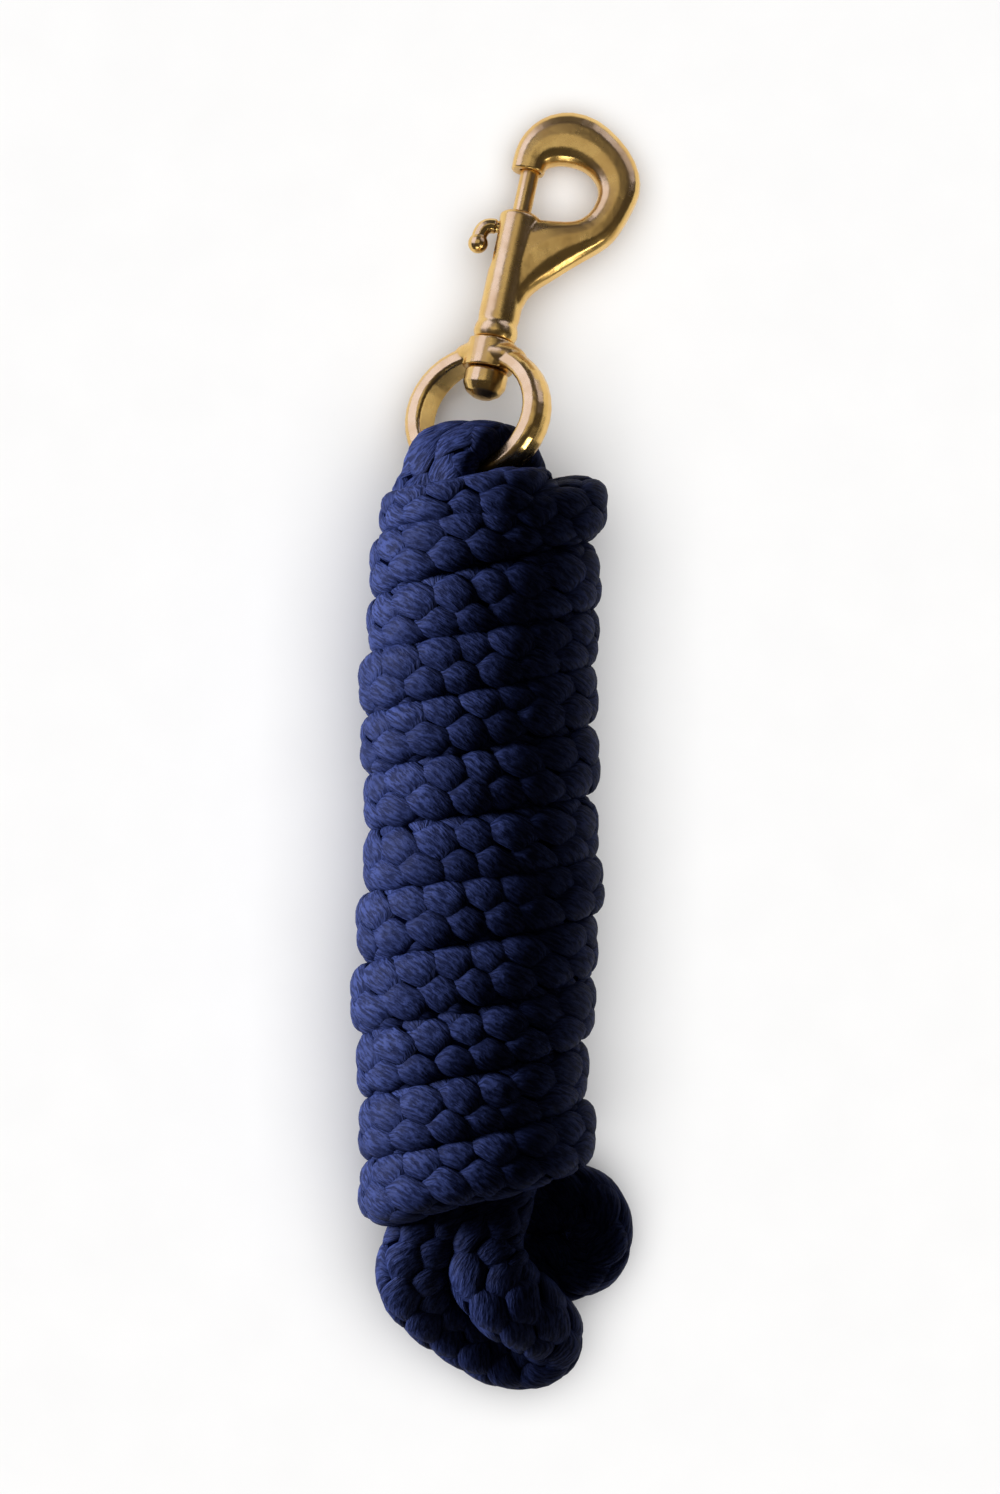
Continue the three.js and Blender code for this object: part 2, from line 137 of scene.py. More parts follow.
def smooth_line(stations, step):
    """A smooth line through stations, whose first three channels are a place, evenly sampled."""
    p = np.asarray(stations, float)
    h = np.linalg.norm(np.diff(p[:, :3], axis=0), axis=1)
    slope = np.diff(p, axis=0) / h[:, None]
    m = np.empty_like(p)
    m[0], m[-1] = slope[0], slope[-1]
    weight = (h[1:] / (h[1:] + h[:-1]))[:, None]
    m[1:-1] = slope[:-1] * weight + slope[1:] * (1 - weight)
    dense = []
    for i, width in enumerate(h):
        t = np.linspace(0, 1, CURVE_STEPS, endpoint=False)[:, None]
        t2, t3 = t * t, t * t * t
        dense.append(
            (2 * t3 - 3 * t2 + 1) * p[i]
            + (t3 - 2 * t2 + t) * width * m[i]
            + (3 * t2 - 2 * t3) * p[i + 1]
            + (t3 - t2) * width * m[i + 1]
        )
    dense = np.concatenate([*dense, p[-1:]])
    along = np.concatenate([[0], np.cumsum(np.linalg.norm(np.diff(dense[:, :3], axis=0), axis=1))])
    count = max(2, int(round(along[-1] / step)) + 1)
    even = np.linspace(0, along[-1], count)
    return np.stack([np.interp(even, along, channel) for channel in dense.T], -1)


# ------------------------------------------------------------------ the rope's route

CORE_HEIGHT = 28.0
CORE_OFFSET = 10.4  # of each core run from the hank's axis
ROPE_RADIUS = 9.7
WRAP_HALF_THICKNESS = 9.9
WRAP_HALF_WIDTH_LEAST = 10.2
WRAP_HALF_WIDTH_MOST = 12.6
WRAP_OVERLAP = 1.9  # how far a turn reaches past halfway to the next one
SPACE_ABOVE_FIRST = 17  # from the first turn's middle to where a turn above it would be
SPACE_BELOW_LAST = 20  # and from the last turn's middle to where one below it would be
FRONT_RISE = 19.2  # from the core to the middle of a turn where it crosses the front
BACK_DROP = 18.0

# Where each turn passes the hank's left and right edge along the hank, and how far out it bulges.
TURN_LEFT = [103.7, 83.5, 65.0, 46.0, 27.0, 9.2, -10.2, -31.5, -54.5, -75.2, -95.4, -115.2]
TURN_RIGHT = [112.0, 103.4, 81.2, 62.0, 43.6, 22.6, 0.4, -16.8, -36.6, -56.2, -76.6, -96.0]
LEFT_BULGE = [32.3, 35.8, 36.5, 39.4, 39.0, 37.4, 38.1, 40.0, 41.9, 40.3, 39.4, 38.0]
RIGHT_BULGE = [36.0, 41.3, 39.4, 38.4, 38.4, 38.7, 38.7, 40.3, 38.4, 37.4, 35.2, 37.4]
STATIONS_PER_TURN = 20
SQUARENESS = 0.86  # 1 is an elliptic turn, less is flatter in front and behind
CROSSING_EASE = 0.55  # 0 is an even climb round the hank, more is steeper in front and behind

# The hank's mouth: where the first turn's upper edge lies at the left, and how steeply it climbs.
MOUTH_LEFT = 108.8
MOUTH_SLOPE_FRONT = 0.22
MOUTH_SLOPE_BACK = 0.09
MOUTH_LEFT_X = WRAP_HALF_THICKNESS - LEFT_BULGE[0]


def turn_height(k, u):
    """Where turn k is along the hank: u is 0 at the right edge, 0.25 in front, 0.5 at the left."""
    if u < 0.5:
        start, end, t = TURN_RIGHT[k], TURN_LEFT[k], 2 * u
    else:
        start, end, t = TURN_LEFT[k], TURN_RIGHT[min(k + 1, len(TURN_RIGHT) - 1)], 2 * u - 1
    eased = (1 - CROSSING_EASE) * t + CROSSING_EASE * t * t * (3 - 2 * t)
    return start + (end - start) * eased


def rounded_square(value, power):
    """A sine or cosine raised to a power with its sign kept: below 1 it makes a circle squarer."""
    return math.copysign(abs(value) ** power, value)


def turn_station(k, u):
    """The rope's place and section on turn k, trimmed where the first turn would fill the mouth."""
    c, s = math.cos(2 * math.pi * u), math.sin(2 * math.pi * u)
    right = RIGHT_BULGE[k] if u < 0.5 else RIGHT_BULGE[min(k + 1, len(RIGHT_BULGE) - 1)]
    reach = (right if c > 0 else LEFT_BULGE[k]) - WRAP_HALF_THICKNESS
    x = reach * rounded_square(c, SQUARENESS)
    z = CORE_HEIGHT + (FRONT_RISE if s > 0 else BACK_DROP) * rounded_square(s, SQUARENESS)
    y = turn_height(k, u)
    above = turn_height(k - 1, u) if k > 0 else y + SPACE_ABOVE_FIRST
    below = turn_height(k + 1, u) if k < len(TURN_LEFT) - 1 else y - SPACE_BELOW_LAST
    half = (above - below) / 4 + WRAP_OVERLAP
    half = min(max(half, WRAP_HALF_WIDTH_LEAST), WRAP_HALF_WIDTH_MOST)
    if k == 0:
        slope = MOUTH_SLOPE_FRONT if u < 0.5 else MOUTH_SLOPE_BACK
        trim = max(y + half - (MOUTH_LEFT + slope * (x - MOUTH_LEFT_X)), 0) / 2
        y, half = y - trim, half - trim
    return [x, y, z, 0, 1, 0, half, WRAP_HALF_THICKNESS]


def rope_stations():
    """Place, wide axis and half sizes of the rope all along its route, from the eye to its end."""
    r = ROPE_RADIUS

    def plain(x, y, z, wide=(1, 0, 0), half_wide=r, half_thick=r):
        return [x, y, z, *wide, half_wide, half_thick]

    down = [plain(-CORE_OFFSET, y, CORE_HEIGHT) for y in (91, 60, 30, 0, -30, -60, -96)]
    bight = [
        plain(-10.6, -107, 28.1),
        plain(-11.6, -116, 28.5, half_wide=10.4),
        plain(-14.2, -123.6, 28.9, half_wide=11),
        plain(-18.2, -131, 28.2, half_wide=12.4),
        plain(-21, -138.6, 26, half_wide=12.8),
        plain(-20.6, -146, 22.8, half_wide=12.6),
        plain(-15.6, -153.8, 18.4, (1, 0.2, 0), half_wide=11.2),
        plain(-8, -160.6, 14.6, (1, 0.5, 0), half_wide=10.8),
        plain(0, -166, 11.8, (0.6, 1, 0), half_wide=10.8),
        plain(8, -170, 10.1, (0.2, 1, 0.2), half_wide=10.6),
        plain(15.4, -171, 10.1, (0, 1, 0.4)),
        plain(21.6, -167.2, 13, (-0.6, 0.6, 0.5), half_wide=10.4),
        plain(22, -160.8, 19, (-0.9, -0.3, 0.2), half_wide=11.4),
        plain(16, -155.2, 24.8, (-1, -0.7, 0), half_wide=13),
        plain(8.6, -149.2, 28.2, (-1, -0.8, 0), half_wide=14),
        plain(2.8, -141.4, 29.4, (-1, -0.5, 0), half_wide=14),
        plain(1.6, -132, 29.4, (-1, 0, 0), half_wide=13.2),
        plain(4.8, -122.6, 29, (-1, 0, 0), half_wide=11.4),
        plain(8.2, -113, 28.4, (-1, 0, 0), half_wide=10.4),
        plain(10, -104, 28, (-1, 0, 0)),
    ]
    up = [plain(CORE_OFFSET, y, CORE_HEIGHT, (-1, 0, 0)) for y in (-96, -60, -30, 0, 30, 60, 82)]
    turn_over = [
        plain(12.4, 94, 29.8, (-1, 0.1, 0)),
        plain(16.6, 101.8, 34.6, (-0.8, 0.5, 0)),
        plain(17.2, 105.6, 41.4, (-0.5, 0.8, 0)),
        plain(11, 105.8, 46.6, (0, 1, 0)),
    ]
    last = len(TURN_LEFT) - 1
    first = [turn_station(0, u) for u in (0.28, 0.33, 0.38, 0.43, 0.48)]
    turns = []
    for k in range(last + 1):
        start = 0.53 if k == 0 else 0.0
        end = 0.5 if k == last else 1.0
        count = int(round((end - start) * STATIONS_PER_TURN))
        turns += [turn_station(k, start + (end - start) * i / count) for i in range(count)]
    tail = [
        plain(-28.8, -116, 20, (0, 1, 0)),
        plain(-24.6, -117.2, 13.7, (0, 1, 0)),
        plain(-18, -118.6, 10.2, (0, 1, 0)),
        plain(-9, -119.6, 9.8, (0, 1, 0)),
        plain(0, -120, 9.8, (0, 1, 0), half_wide=10.2),
        plain(9, -120, 9.8, (0, 1, 0), half_wide=10.8),
        plain(19, -119.4, 9.8, (0, 1, 0), half_wide=12.2),
        plain(28.4, -119.2, 10, (0.2, 1, 0), half_wide=12),
        plain(35.4, -122.6, 10.2, (0.9, 0.7, 0), half_wide=12.2),
        plain(38, -130, 10.4, (1, 0, 0), half_wide=12),
        plain(35.4, -137.6, 10.2, (0.9, -0.7, 0), half_wide=12.2),
        plain(28.4, -141, 10, (0.2, -1, 0), half_wide=11.8),
        plain(18, -140.8, 9.8, (0, -1, 0), half_wide=12),
        plain(6.5, -140.8, 9.8, (0, -1, 0), half_wide=10),
        plain(-0.6, -140.8, 9.8, (0, -1, 0), half_wide=9, half_thick=9),
    ]
    return [*down, *bight, *up, *turn_over, *first, *turns, *tail]


# ------------------------------------------------------------------ the snap's frame

RING_CENTRE = Vector((-0.7, 133.0, 24.2))
SNAP_LEAN = 11.8 * DEG  # to the right, seen from above
SNAP_DROP = 11.0 * DEG  # from the ring down to the hook
RING_TURN = -33.0 * DEG  # about the snap's long axis
RING_BAR = 20.4  # from the ring's centre down to the middle of its bar

snap_turn = Matrix.Rotation(-SNAP_DROP, 3, "X") @ Matrix.Rotation(-SNAP_LEAN, 3, "Z")
ring_turn = snap_turn @ Matrix.Rotation(RING_TURN, 3, "Y")


def in_snap(x, y, z=0.0):
    """A point of the snap's own frame, in millimetres of the row frame."""
    return RING_CENTRE + snap_turn @ Vector((x, y, z))


# ------------------------------------------------------------------ the plait

# The strands' crowns: each is a slanting bundle of fibres whose ends dive below its neighbours.
CELL_ROWS = 6  # round the rope
CELL_PITCH = 10.4  # from one crown to the next along a row
CELL_LENGTH = 15.8
CELL_WIDTH = 10.8
CELL_HALF_THICKNESS = 1.7
CELL_INSET = 0.25  # of a crown's top below the rope's outline
CELL_DIP = 2.2  # how far a bundle's ends dive below its crown
CELL_DIP_POWER = 3  # more keeps a longer stretch of the crown level
CELL_SLANT = 46.0 * DEG  # between a bundle's fibres and the rope's length
CELL_FLATNESS = 0.6  # 1 is a round bundle, less is a flatter one
CELL_FULLNESS = 0.85  # 1 is a round bundle, less is fuller at its sides
CELL_TAPER = 0.84  # 1 narrows a bundle's ends to a point
CELL_TAPER_POWER = 6  # more narrows it only near its ends
CELL_THINNING = 0.7  # 1 thins a bundle's ends as much as it narrows them
CELL_RINGS = 11
CELL_SIDES = 14

# How the crowns differ from each other, with angles in radians.
PLACE_SCATTER = 0.7
ANGLE_SCATTER = 0.06
SLANT_SCATTER = 0.09
LENGTH_RANGE = (0.93, 1.07)
WIDTH_RANGE = (0.94, 1.06)
PROUD_RANGE = (-0.35, 0.45)  # how far a crown stands out
PATTERN_RANGE = (0, 400)  # where in the fibres' noise a bundle starts
ROW_WANDER = 0.16  # how far the rows wind round the rope
ROW_WANDER_LENGTH = 95

# The plain core that closes the gaps between the crowns; its colour is painted fully dark, as the shade
# in those gaps.
CORE_INSET = 1.7
CORE_STEP = 2.5
CORE_SIDES = 12
CORE_REACH = 1.5  # past the ends of the route

SECTION_POWER = 3.0  # 2 is an oval section, more is a squarer one
DEEPEST = 6.0  # a depth at which the rope is painted fully dark, as shade; the core gets it throughout
FLOOR_CLEARANCE = 0.25


class Section:
    """A rope's run: finds a point from its place along the rope, round it and below its outline."""

    def __init__(self, stations, step=1.0):
        line = smooth_line(stations, step)
        self.place = line[:, :3]
        self.tangent = np.gradient(self.place, axis=0)
        self.tangent /= np.linalg.norm(self.tangent, axis=1)[:, None]
        wide = line[:, 3:6]
        wide = wide - (wide * self.tangent).sum(1)[:, None] * self.tangent
        self.wide = wide / np.linalg.norm(wide, axis=1)[:, None]
        self.thick = np.cross(self.tangent, self.wide)
        self.halves = line[:, 6:8]
        steps = np.linalg.norm(np.diff(self.place, axis=0), axis=1)
        self.along = np.concatenate([[0], np.cumsum(steps)])
        self.length = self.along[-1]

    def read(self, values, s):
        return np.stack([np.interp(s, self.along, channel) for channel in values.T], -1)

    def at(self, s, angle, inset):
        """Points at length s, at an angle from the wide axis, and at an inset below the outline."""
        place = self.read(self.place, s)
        wide, thick = self.read(self.wide, s), self.read(self.thick, s)
        halves = self.read(self.halves, s)
        c, d = np.cos(angle), np.sin(angle)
        power = SECTION_POWER
        size = np.abs(c / halves[..., 0]) ** power + np.abs(d / halves[..., 1]) ** power
        reach = size ** (-1 / power) - inset * np.minimum(halves[..., 1] / ROPE_RADIUS, 1)
        over = s - np.clip(s, 0, self.length)  # how far past the route's ends
        tangent = self.read(self.tangent, s)
        return (
            place
            + over[..., None] * tangent
            + (reach * c)[..., None] * wide
            + (reach * d)[..., None] * thick
        )


def draw_cells(section, seed):
    """Each crown's place along and round the rope, and how it differs from the others."""
    draw = random.Random(seed)
    count = int(section.length / CELL_PITCH)
    cells = []
    for row in range(CELL_ROWS):
        for i in range(count + 1):
            s = (i + 0.5 * (row % 2)) * section.length / (count + 0.5)
            s += draw.uniform(-PLACE_SCATTER, PLACE_SCATTER)
            wander = ROW_WANDER * math.sin(s / ROW_WANDER_LENGTH + 1.3 * seed)
            angle = row * 2 * math.pi / CELL_ROWS + wander
            angle += draw.uniform(-ANGLE_SCATTER, ANGLE_SCATTER)
            cells.append([
                s, angle,
                draw.uniform(*LENGTH_RANGE), draw.uniform(*WIDTH_RANGE),
                draw.uniform(*PROUD_RANGE), draw.uniform(-SLANT_SCATTER, SLANT_SCATTER),
                draw.random(), draw.uniform(*PATTERN_RANGE),
            ])
    return np.array(cells).T[:, :, None, None]


def crowns(section, seed):
    """The strands' crowns: their points and faces, and each point's uv, tint and depth."""
    s0, angle0, long, wide, proud, turn, tint, offset = draw_cells(section, seed)
    a = np.linspace(-1, 1, CELL_RINGS)[None, :, None]  # along a bundle
    b = (-math.pi / 2 + 2 * math.pi * np.arange(CELL_SIDES) / CELL_SIDES)[None, None, :]  # round it
    slant = CELL_SLANT + turn
    taper = (1 - CELL_TAPER * np.abs(a) ** CELL_TAPER_POWER) ** 0.5
    half_wide = CELL_WIDTH / 2 * wide * taper
    half_thick = CELL_HALF_THICKNESS * taper ** CELL_THINNING
    along = a * CELL_LENGTH / 2 * long
    across = half_wide * np.sign(np.cos(b)) * np.abs(np.cos(b)) ** CELL_FULLNESS
    rise = np.sign(np.sin(b)) * np.abs(np.sin(b)) ** CELL_FLATNESS
    s = s0 + along * np.cos(slant) - across * np.sin(slant)
    angle = angle0 + (along * np.sin(slant) + across * np.cos(slant)) / ROPE_RADIUS
    dip = CELL_DIP * np.abs(a) ** CELL_DIP_POWER
    inset = dip - proud + half_thick * (1 - rise) + CELL_INSET
    shape = np.broadcast(s, angle, inset).shape
    s, angle, inset = (np.broadcast_to(v, shape) for v in (s, angle, inset))
    points = section.at(s, angle, inset).reshape(-1, 3)
    quads, ends = tube_faces(CELL_RINGS, CELL_SIDES)
    starts = (np.arange(shape[0]) * CELL_RINGS * CELL_SIDES)[:, None, None]
    faces = [(quads[None] + starts).reshape(-1, 4), (ends[None] + starts).reshape(-1, CELL_SIDES)]
    uv = np.stack([
        np.broadcast_to(along + offset, shape),
        np.broadcast_to((b + math.pi / 2) * half_wide / math.pi * 2 + 3 * offset, shape),
    ], -1).reshape(-1, 2)
    tints = np.broadcast_to(tint, shape).ravel()
    # a point's depth below the outline, by which the material paints shade where the bundles dive under
    # each other
    depths = np.clip(inset, 0, DEEPEST).ravel()
    return points, faces, uv, tints, depths


def plain_core(section):
    """The core's points and faces: one tube along the whole run."""
    s = np.arange(-CORE_REACH, section.length + CORE_REACH, CORE_STEP)
    angle = 2 * math.pi * np.arange(CORE_SIDES) / CORE_SIDES
    s, angle = np.meshgrid(s, angle, indexing="ij")
    points = section.at(s, angle, np.full(s.shape, CORE_INSET)).reshape(-1, 3)
    return points, tube_faces(*s.shape)


def plait(name, section, material, seed):
    """A run of plaited rope: rows of strand crowns laid over a plain core."""
    points, faces, uv, tints, depths = crowns(section, seed)
    core_points, core_faces = plain_core(section)
    faces += [part + len(points) for part in core_faces]
    points = np.concatenate([points, core_points])
    points[:, 2] = np.maximum(points[:, 2], FLOOR_CLEARANCE)
    uv = np.concatenate([uv, np.zeros((len(core_points), 2))])
    tints = np.concatenate([tints, np.zeros(len(core_points))])
    # the core's points take the deepest depth, so that it is painted fully dark, as shade
    depths = np.concatenate([depths, np.full(len(core_points), DEEPEST)])
    mesh = mesh_of(name, points, faces, {"tint": tints, "depth": depths}, uv)
    return new_object(name, mesh, material)


# ------------------------------------------------------------------ materials


def node_material(name):
    """A new material, its node tree and its shader."""
    material = bpy.data.materials.new(name)
    material.use_nodes = True
    tree = material.node_tree
    shader = tree.nodes["Principled BSDF"]
    return material, tree, shader


def add_node(tree, kind, **values):
    """A new node. Each value goes to the input of that name, or else to the setting."""
    node = tree.nodes.new(kind)
    for key, value in values.items():
        if key in node.inputs:
            node.inputs[key].default_value = value
        else:
            setattr(node, key, value)
    return node


def mix_colour(tree, factor, first, second):
    """A mix of two colours. Each of the three values is a socket or a plain value."""
    node = tree.nodes.new("ShaderNodeMix")
    node.data_type = "RGBA"
    sockets = (node.inputs[0], node.inputs[6], node.inputs[7])  # the inputs of a colour mix
    for socket, value in zip(sockets, (factor, first, second)):
        if isinstance(value, bpy.types.NodeSocket):
            tree.links.new(value, socket)
        else:
            socket.default_value = value
    return node.outputs[2]


def ramp(tree, value, low, high, out_low=0.0, out_high=1.0):
    """Goes from out_low to out_high while the value goes from low to high."""
    node = add_node(tree, "ShaderNodeMapRange")
    tree.links.new(value, node.inputs["Value"])
    limits = {"From Min": low, "From Max": high, "To Min": out_low, "To Max": out_high}
    for key, limit in limits.items():
        node.inputs[key].default_value = limit
    return node.outputs["Result"]


def stretched_noise(tree, place, scale, **values):
    """Noise at that place, stretched by the scale along each axis."""
    stretch = add_node(tree, "ShaderNodeMapping")
    stretch.inputs["Scale"].default_value = scale
    tree.links.new(place, stretch.inputs["Vector"])
    noise = add_node(tree, "ShaderNodeTexNoise", Scale=1.0, **values)
    tree.links.new(stretch.outputs["Vector"], noise.inputs["Vector"])
    return noise.outputs["Fac"]


def even_noise(tree, place, **values):
    """Noise at that place, the same along each axis."""
    noise = add_node(tree, "ShaderNodeTexNoise", **values)
    tree.links.new(place, noise.inputs["Vector"])
    return noise.outputs["Fac"]


def bumps(tree, shader, *layers):
    """Lays bumps over each other: each layer is a height, a strength and a distance in metres."""
    below = None
    for height, strength, distance in layers:
        bump = add_node(tree, "ShaderNodeBump", Strength=strength, Distance=distance)
        tree.links.new(height, bump.inputs["Height"])
        if below:
            tree.links.new(below, bump.inputs["Normal"])
        below = bump.outputs["Normal"]
    tree.links.new(below, shader.inputs["Normal"])


PAINTED_SHADE_FROM, PAINTED_SHADE_TO = 1.4, 5.0  # depths between which the rope is painted from its colour to dark, as shade in its hollows and on its core
SHINE = 0.04
SHINE_FROM, SHINE_TO = 0.8, 2.4  # depths between which its faint shine goes
FIBRE_STRETCH = 0.3
TUFT_SCALE = (0.16, 0.45, 1)

# How far each of these takes the colour from pale to deep.
OWN_TINT = 0.4
STREAKS = 0.95
WEAR = 0.35


def fibre_material(name, pale, deep, fibre_size=0.6):
    """Soft fibre bundles: fine fibres along each bundle, a tint of its own, and painted shade that
    darkens them by depth in the hollows.
    """
    material, tree, shader = node_material(name)
    uv = add_node(tree, "ShaderNodeUVMap", uv_map="UVMap").outputs["UV"]
    fibre_scale = (FIBRE_STRETCH, 1 / fibre_size, 1)
    fibres = stretched_noise(tree, uv, fibre_scale, Detail=3.0, Roughness=0.6)
    tufts = stretched_noise(tree, uv, TUFT_SCALE, Detail=1.0)
    tint = add_node(tree, "ShaderNodeAttribute", attribute_name="tint").outputs["Fac"]
    depth = add_node(tree, "ShaderNodeAttribute", attribute_name="depth").outputs["Fac"]
    own = mix_colour(tree, ramp(tree, tint, 0, 1, 0.0, OWN_TINT), pale, deep)
    streaked = mix_colour(tree, ramp(tree, fibres, 0.43, 0.57, STREAKS, 0.0), own, deep)
    worn = mix_colour(tree, ramp(tree, tufts, 0.35, 0.65, WEAR, 0.0), streaked, deep)
    # Painted shade: the deeper a point lies below the rope's outline, the darker, down to a tenth of
    # the deep colour.
    painted_shade = (deep[0] * 0.1, deep[1] * 0.1, deep[2] * 0.12, 1)
    colour = mix_colour(tree, ramp(tree, depth, PAINTED_SHADE_FROM, PAINTED_SHADE_TO), worn, painted_shade)
    tree.links.new(colour, shader.inputs["Base Color"])
    shader.inputs["Roughness"].default_value = 0.6
    shine = ramp(tree, depth, SHINE_FROM, SHINE_TO, SHINE, 0.0)
    tree.links.new(shine, shader.inputs["Specular IOR Level"])
    bumps(tree, shader, (tufts, 0.5, 0.0006), (fibres, 1.0, 0.0007))
    return material


def brass_material(name):
    """Cast brass, tumbled and polished: a warm body, fine scratches and a soft waviness."""
    material, tree, shader = node_material(name)
    place = add_node(tree, "ShaderNodeTexCoord").outputs["Object"]
    cloud = even_noise(tree, place, Scale=90.0, Detail=4.0, Roughness=0.6)
    scratches = stretched_noise(tree, place, (2600, 260, 2600), Detail=3.0, Roughness=0.7)
    waves = even_noise(tree, place, Scale=260.0, Detail=2.0)
    bright, dull = (0.82, 0.55, 0.19, 1), (0.72, 0.44, 0.13, 1)
    colour = mix_colour(tree, ramp(tree, cloud, 0.35, 0.7), bright, dull)
    tree.links.new(colour, shader.inputs["Base Color"])
    shader.inputs["Metallic"].default_value = 1.0
    tree.links.new(ramp(tree, cloud, 0.3, 0.7, 0.22, 0.34), shader.inputs["Roughness"])
    bumps(tree, shader, (waves, 0.25, 0.0004), (scratches, 0.12, 0.00008))
    return material


def steel_material(name):
    """Drawn spring wire, brighter and duller in patches."""
    material, tree, shader = node_material(name)
    place = add_node(tree, "ShaderNodeTexCoord").outputs["Object"]
    drawn = even_noise(tree, place, Scale=900.0, Detail=3.0)
    bright, dull = (0.55, 0.56, 0.58, 1), (0.4, 0.4, 0.42, 1)
    colour = mix_colour(tree, ramp(tree, drawn, 0.3, 0.7), bright, dull)
    tree.links.new(colour, shader.inputs["Base Color"])
    shader.inputs["Metallic"].default_value = 1.0
    tree.links.new(ramp(tree, drawn, 0.3, 0.7, 0.25, 0.45), shader.inputs["Roughness"])
    return material


ROPE_PALE, ROPE_DEEP = (0.024, 0.036, 0.125, 1), (0.004, 0.007, 0.032, 1)
TWINE_PALE, TWINE_DEEP = (0.016, 0.020, 0.070, 1), (0.006, 0.008, 0.030, 1)

rope_fibre = fibre_material("rope_fibre", ROPE_PALE, ROPE_DEEP)
twine_fibre = fibre_material("twine_fibre", TWINE_PALE, TWINE_DEEP, fibre_size=0.3)
brass = brass_material("brass")
spring_steel = steel_material("spring_steel")

# ------------------------------------------------------------------ the rope

route = Section(rope_stations())
rope = plait("rope_plait", route, rope_fibre, seed=1)
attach(rope, "rope")
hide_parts("rope_wraps", "rope_core", "rope_tail")

EYE_RADIUS = 11.8  # from the middle of the ring's bar to the middle of the rope round it
EYE_HALF_WIDTH = 13.4
EYE_HALF_THICKNESS = 6.2
EYE_START = -1.8  # along the bar, where the strand in front crosses it
EYE_SPREAD = 12.0  # from there to where the strand behind does
EYE_ANGLE_FROM, EYE_ANGLE_TO = -22, 202  # degrees round the bar, 0 in front of it
EYE_STEPS = 10
NECK_HALF_WIDTH = 11.4
NECK_HALF_THICKNESS = 5.6
FRONT_NECK_X = -10.2
BACK_NECK_X = -4.0
NECK_OVERLAP = 0.1  # of each strand past the middle between the two
NECK_TOP = 98.0
NECK_FOOT = 89.0
EYE_SHOULDER = (-14.0, 106.0, 36.0)  # where the strand in front leaves the hank's mouth
EYE_SHOULDER_HALF_WIDTH = 14.4


def eye_stations():
    """The rope pressed flat: up in front of the ring's bar, through the ring and down behind."""
    across, along, out = ring_turn.col[0], ring_turn.col[1], ring_turn.col[2]
    bar = RING_CENTRE + ring_turn @ Vector((0, -RING_BAR, 0))
    neck_heights = (NECK_FOOT, (NECK_FOOT + NECK_TOP) / 2, NECK_TOP)
    stations = []

    def neck(x, side, heights):
        z = CORE_HEIGHT + side * (NECK_HALF_THICKNESS - NECK_OVERLAP)
        for y in heights:
            stations.append([x, y, z, 1, 0, 0, NECK_HALF_WIDTH, NECK_HALF_THICKNESS])

    neck(FRONT_NECK_X, 1, neck_heights)
    stations.append([*EYE_SHOULDER, 1, 0, 0, EYE_SHOULDER_HALF_WIDTH, NECK_HALF_THICKNESS])
    for i in range(EYE_STEPS + 1):
        part = i / EYE_STEPS
        angle = (EYE_ANGLE_FROM + (EYE_ANGLE_TO - EYE_ANGLE_FROM) * part) * DEG
        shift = EYE_START + EYE_SPREAD * part * part * (3 - 2 * part)
        round_bar = math.cos(angle) * out + math.sin(angle) * along
        place = bar + shift * across + EYE_RADIUS * round_bar
        stations.append([*place, *across, EYE_HALF_WIDTH, EYE_HALF_THICKNESS])
    neck(BACK_NECK_X, -1, neck_heights[::-1])
    return stations


eye = plait("rope_eye_plait", Section(eye_stations()), rope_fibre, seed=2)
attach(eye, "rope")
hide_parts("rope_eye")

# ------------------------------------------------------------------ whippings and spring


WIRE_TINT = 0.3  # of twine, among the tints from 0 to 1 that the rope's bundles have
ASKEW = (0.3, 0.5, 0.8)  # a direction that no wire starts in


def wire(name, points, radius, material, sides=10):
    """A wire of that radius along points, in millimetres."""
    line = np.asarray(points, float)
    tangent = np.gradient(line, axis=0)
    tangent /= np.linalg.norm(tangent, axis=1)[:, None]
    normal = np.zeros_like(line)
    start = np.cross(tangent[0], ASKEW)
    normal[0] = start / np.linalg.norm(start)
    for i in range(1, len(line)):
        n = normal[i - 1] - normal[i - 1].dot(tangent[i]) * tangent[i]
        normal[i] = n / np.linalg.norm(n)
    other = np.cross(tangent, normal)
    angle = 2 * math.pi * np.arange(sides) / sides
    c, s = np.cos(angle)[None, :, None], np.sin(angle)[None, :, None]
    ring = line[:, None] + radius * (c * normal[:, None] + s * other[:, None])
    along = np.concatenate([[0], np.cumsum(np.linalg.norm(np.diff(line, axis=0), axis=1))])
    uv = np.stack(np.broadcast_arrays(along[:, None], radius * angle[None]), -1).reshape(-1, 2)
    quads, ends = tube_faces(len(line), sides)
    count = len(line) * sides
    attributes = {"tint": np.full(count, WIRE_TINT), "depth": np.zeros(count)}
    mesh = mesh_of(name, ring.reshape(-1, 3), [quads, ends], attributes, uv)
    return new_object(name, mesh, material)


WHIP_RADIUS = 0.6
WHIP_TURNS = 6
WHIP_PITCH = 2 * WHIP_RADIUS * 0.96  # the turns press on each other
NECK_TWINE_STEPS = 40  # to a turn
NECK_TWINE_HALF_WIDTH = 14.6
NECK_TWINE_HALF_HEIGHT = 11.6
NECK_TWINE_SQUARENESS = 0.7
NECK_TWINE_START = NECK_FOOT + 2
TAIL_TWINE_CENTRE = (5.4, -140.8, 9.6)
TAIL_TWINE_RADIUS = 8.6
TAIL_TWINE_STEPS = 32


